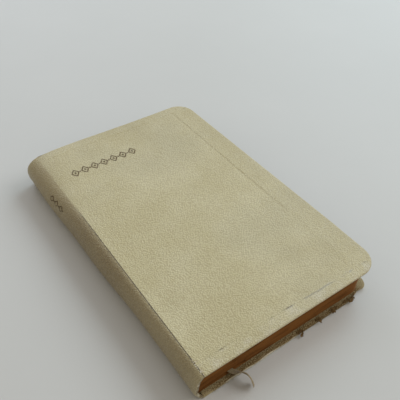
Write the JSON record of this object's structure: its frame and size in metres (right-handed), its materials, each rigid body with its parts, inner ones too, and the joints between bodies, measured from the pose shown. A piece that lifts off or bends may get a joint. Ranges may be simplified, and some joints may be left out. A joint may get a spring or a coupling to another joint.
{
  "type": "bible",
  "caption": "Small limp bible in ivory grained leather, closed on its back cover, with a ribbon marker; covers, endpapers and text block open.",
  "frame": {"origin": "centre of the closed book's footprint, on the surface it lies on", "axes": "+X from the spine to the fore edge, +Y up the page from tail to head, +Z from the back cover to the front cover"},
  "size_m": [0.0892, 0.1467, 0.015],
  "materials": {
    "ivory_leather": "ivory pebble-grained limp leather, yellowed, with light handling wear",
    "lining_card": "thin grey flexible card",
    "endpaper": "cream endpaper, toned at its edges",
    "edge_coloured_leaves": "thin bible paper with worn gilt over red-brown edges",
    "leaf_paper": "thin blank bible paper",
    "brown_paper": "brown kraft paper",
    "mull_cloth": "open starched cotton cloth",
    "linen_thread": "waxed linen thread",
    "ribbon_silk": "faded beige ribbon, frayed at its end"
  },
  "bodies": {
    "back_half": {"back_cover_leather": "ivory_leather", "back_cover_board": "lining_card", "back_pastedown": "endpaper", "back_flyleaf": "endpaper", "gathering_01": "edge_coloured_leaves", "gathering_02": "edge_coloured_leaves", "gathering_03": "edge_coloured_leaves", "gathering_04": "edge_coloured_leaves", "gathering_05": "edge_coloured_leaves", "gathering_06": "edge_coloured_leaves", "spine_leather_lower": "ivory_leather", "spine_lining_lower": "brown_paper", "spine_mull_lower": "mull_cloth", "sewing_thread": "linen_thread", "ribbon_marker": "ribbon_silk"},
    "front_half": {"gathering_07": "edge_coloured_leaves", "gathering_08": "edge_coloured_leaves", "gathering_09": "edge_coloured_leaves", "gathering_10": "edge_coloured_leaves", "gathering_11": "edge_coloured_leaves", "gathering_12": "edge_coloured_leaves", "spine_leather_upper": "ivory_leather", "spine_lining_upper": "brown_paper", "spine_mull_upper": "mull_cloth"},
    "front_cover": {"front_cover_leather": "ivory_leather", "front_cover_board": "lining_card", "front_pastedown": "endpaper"},
    "front_flyleaf": {"front_flyleaf": "endpaper"},
    "lower_middle_leaf": {"lower_middle_leaf": "leaf_paper"},
    "upper_middle_leaf": {"upper_middle_leaf": "leaf_paper"}
  },
  "joints": [
    {"name": "front_cover_hinge", "type": "hinge", "parent": "front_half", "child": "front_cover", "pos_m": [-0.04085, 0, 0.0151], "axis": [0, -1, 0], "range_deg": [0, 175]},
    {"name": "block_opening_hinge", "type": "hinge", "parent": "back_half", "child": "front_half", "pos_m": [-0.04465, 0, 0.0075], "axis": [0, -1, 0], "range_deg": [0, 172]},
    {"name": "front_flyleaf_lift", "type": "hinge", "parent": "front_half", "child": "front_flyleaf", "pos_m": [-0.04125, 0, 0.013], "axis": [0, -1, 0], "range_deg": [0, 14]},
    {"name": "lower_middle_leaf_lift", "type": "hinge", "parent": "back_half", "child": "lower_middle_leaf", "pos_m": [-0.0426, 0, 0.00728], "axis": [0, -1, 0], "range_deg": [0, 14]},
    {"name": "upper_middle_leaf_lift", "type": "hinge", "parent": "front_half", "child": "upper_middle_leaf", "pos_m": [-0.0426, 0, 0.00773], "axis": [0, -1, 0], "range_deg": [-14, 0]}
  ],
  "couplings": [
    {"joint": "front_flyleaf_lift", "follows": "front_cover_hinge", "ratio": 0.08},
    {"joint": "lower_middle_leaf_lift", "follows": "block_opening_hinge", "ratio": 0.08},
    {"joint": "upper_middle_leaf_lift", "follows": "block_opening_hinge", "ratio": -0.08}
  ]
}
